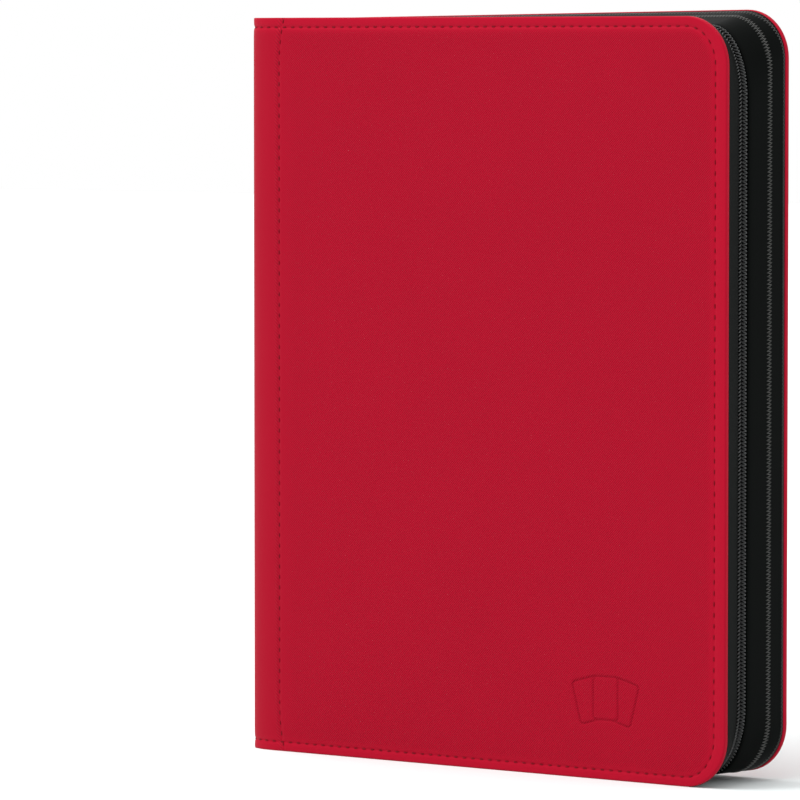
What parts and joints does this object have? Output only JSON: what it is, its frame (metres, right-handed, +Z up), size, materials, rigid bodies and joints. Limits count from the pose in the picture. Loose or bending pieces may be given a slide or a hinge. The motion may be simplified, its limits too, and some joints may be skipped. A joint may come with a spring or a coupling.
{
  "type": "trading card binder",
  "caption": "Zip-around binder for trading cards: padded covers, folding spine, zip with slider and puller, and turning pocket sheets with clear film.",
  "frame": {"origin": "middle of the footprint, on the surface the closed binder stands on", "axes": "+Z up the spine, +X from the spine to the opening edge, -Y towards the front cover"},
  "size_m": [0.28, 0.05, 0.35],
  "materials": {
    "red_pu": "satin twill-grained PU",
    "foam": "matte foam",
    "board": "matte",
    "lining_pu": "smooth satin PU",
    "gusset_pu": "fine-grained PU",
    "zip_tape": "ribbed woven tape",
    "zip_coil": "nylon coil",
    "black_metal": "semi-gloss enamel",
    "pull_rubber": "moulded matte",
    "sheet_black": "fine stippled",
    "clear_film": "clear polypropylene film"
  },
  "bodies": {
    "back_cover": {"back_cover_skin": "red_pu", "back_cover_foam": "foam", "back_cover_board": "board", "back_cover_lining": "lining_pu", "back_gusset": "gusset_pu", "back_zipper_tape": "zip_tape", "back_zipper_coil": "zip_coil", "back_top_stop": "black_metal", "back_bottom_stop": "black_metal"},
    "spine": {"spine_skin": "red_pu", "spine_foam": "foam", "spine_board": "board", "spine_lining": "lining_pu", "back_page_binding": "lining_pu", "front_page_binding": "lining_pu"},
    "front_cover": {"front_cover_skin": "red_pu", "front_cover_foam": "foam", "front_cover_board": "board", "front_cover_lining": "lining_pu", "front_gusset": "gusset_pu", "front_zipper_tape": "zip_tape", "front_zipper_coil": "zip_coil", "front_top_stop": "black_metal"},
    "slider": {"zipper_slider": "black_metal"},
    "puller": {"pull_link": "black_metal", "pull_tab": "pull_rubber"},
    "sheet_01": {"sheet_01_core": "sheet_black", "sheet_01_front_film": "clear_film", "sheet_01_back_film": "clear_film"},
    "sheet_02": {"sheet_02_core": "sheet_black", "sheet_02_front_film": "clear_film", "sheet_02_back_film": "clear_film"},
    "sheet_03": {"sheet_03_core": "sheet_black", "sheet_03_front_film": "clear_film", "sheet_03_back_film": "clear_film"},
    "sheet_04": {"sheet_04_core": "sheet_black", "sheet_04_front_film": "clear_film", "sheet_04_back_film": "clear_film"},
    "sheet_05": {"sheet_05_core": "sheet_black", "sheet_05_front_film": "clear_film", "sheet_05_back_film": "clear_film"},
    "sheet_06": {"sheet_06_core": "sheet_black", "sheet_06_front_film": "clear_film", "sheet_06_back_film": "clear_film"},
    "sheet_07": {"sheet_07_core": "sheet_black", "sheet_07_front_film": "clear_film", "sheet_07_back_film": "clear_film"},
    "sheet_08": {"sheet_08_core": "sheet_black", "sheet_08_front_film": "clear_film", "sheet_08_back_film": "clear_film"},
    "sheet_09": {"sheet_09_core": "sheet_black", "sheet_09_front_film": "clear_film", "sheet_09_back_film": "clear_film"},
    "sheet_10": {"sheet_10_core": "sheet_black", "sheet_10_front_film": "clear_film", "sheet_10_back_film": "clear_film"}
  },
  "joints": [
    {"name": "back_fold", "type": "hinge", "parent": "back_cover", "child": "spine", "pos_m": [-0.1385, 0.0235, 0.175], "axis": [0, 0, -1], "range_deg": [0, 90]},
    {"name": "front_fold", "type": "hinge", "parent": "spine", "child": "front_cover", "pos_m": [-0.1385, -0.0235, 0.175], "axis": [0, 0, -1], "range_deg": [0, 90]},
    {"name": "sheet_01_turn", "type": "hinge", "parent": "spine", "child": "sheet_01", "pos_m": [-0.135, 0.0189, 0.175], "axis": [0, 0, -1], "range_deg": [-90, 0]},
    {"name": "sheet_02_turn", "type": "hinge", "parent": "spine", "child": "sheet_02", "pos_m": [-0.1331, 0.0167, 0.175], "axis": [0, 0, -1], "range_deg": [-90, 0]},
    {"name": "sheet_03_turn", "type": "hinge", "parent": "spine", "child": "sheet_03", "pos_m": [-0.1319, 0.0145, 0.175], "axis": [0, 0, -1], "range_deg": [-72, 0]},
    {"name": "sheet_04_turn", "type": "hinge", "parent": "spine", "child": "sheet_04", "pos_m": [-0.1311, 0.0123, 0.175], "axis": [0, 0, -1], "range_deg": [-54, 0]},
    {"name": "sheet_05_turn", "type": "hinge", "parent": "spine", "child": "sheet_05", "pos_m": [-0.1305, 0.0101, 0.175], "axis": [0, 0, -1], "range_deg": [-36, 0]},
    {"name": "sheet_06_turn", "type": "hinge", "parent": "spine", "child": "sheet_06", "pos_m": [-0.1305, -0.0101, 0.175], "axis": [0, 0, -1], "range_deg": [0, 36]},
    {"name": "sheet_07_turn", "type": "hinge", "parent": "spine", "child": "sheet_07", "pos_m": [-0.1311, -0.0123, 0.175], "axis": [0, 0, -1], "range_deg": [0, 54]},
    {"name": "sheet_08_turn", "type": "hinge", "parent": "spine", "child": "sheet_08", "pos_m": [-0.1319, -0.0145, 0.175], "axis": [0, 0, -1], "range_deg": [0, 72]},
    {"name": "sheet_09_turn", "type": "hinge", "parent": "spine", "child": "sheet_09", "pos_m": [-0.1331, -0.0167, 0.175], "axis": [0, 0, -1], "range_deg": [0, 90]},
    {"name": "sheet_10_turn", "type": "hinge", "parent": "spine", "child": "sheet_10", "pos_m": [-0.135, -0.0189, 0.175], "axis": [0, 0, -1], "range_deg": [0, 90]},
    {"name": "slider_travel", "type": "slide", "parent": "back_cover", "child": "slider", "axis": [1, 0, 0], "range_m": [0, 0.23]},
    {"name": "puller_flip", "type": "hinge", "parent": "slider", "child": "puller", "pos_m": [-0.121, -0.0058, 0.3481], "axis": [0, -1, 0], "range_deg": [0, 165]}
  ],
  "couplings": [
    {"joint": "front_fold", "follows": "back_fold", "ratio": 1},
    {"joint": "sheet_01_turn", "follows": "back_fold", "ratio": -1},
    {"joint": "sheet_02_turn", "follows": "back_fold", "ratio": -1},
    {"joint": "sheet_03_turn", "follows": "back_fold", "ratio": -0.8},
    {"joint": "sheet_04_turn", "follows": "back_fold", "ratio": -0.6},
    {"joint": "sheet_05_turn", "follows": "back_fold", "ratio": -0.4},
    {"joint": "sheet_06_turn", "follows": "back_fold", "ratio": 0.4},
    {"joint": "sheet_07_turn", "follows": "back_fold", "ratio": 0.6},
    {"joint": "sheet_08_turn", "follows": "back_fold", "ratio": 0.8},
    {"joint": "sheet_09_turn", "follows": "back_fold", "ratio": 1},
    {"joint": "sheet_10_turn", "follows": "back_fold", "ratio": 1}
  ]
}
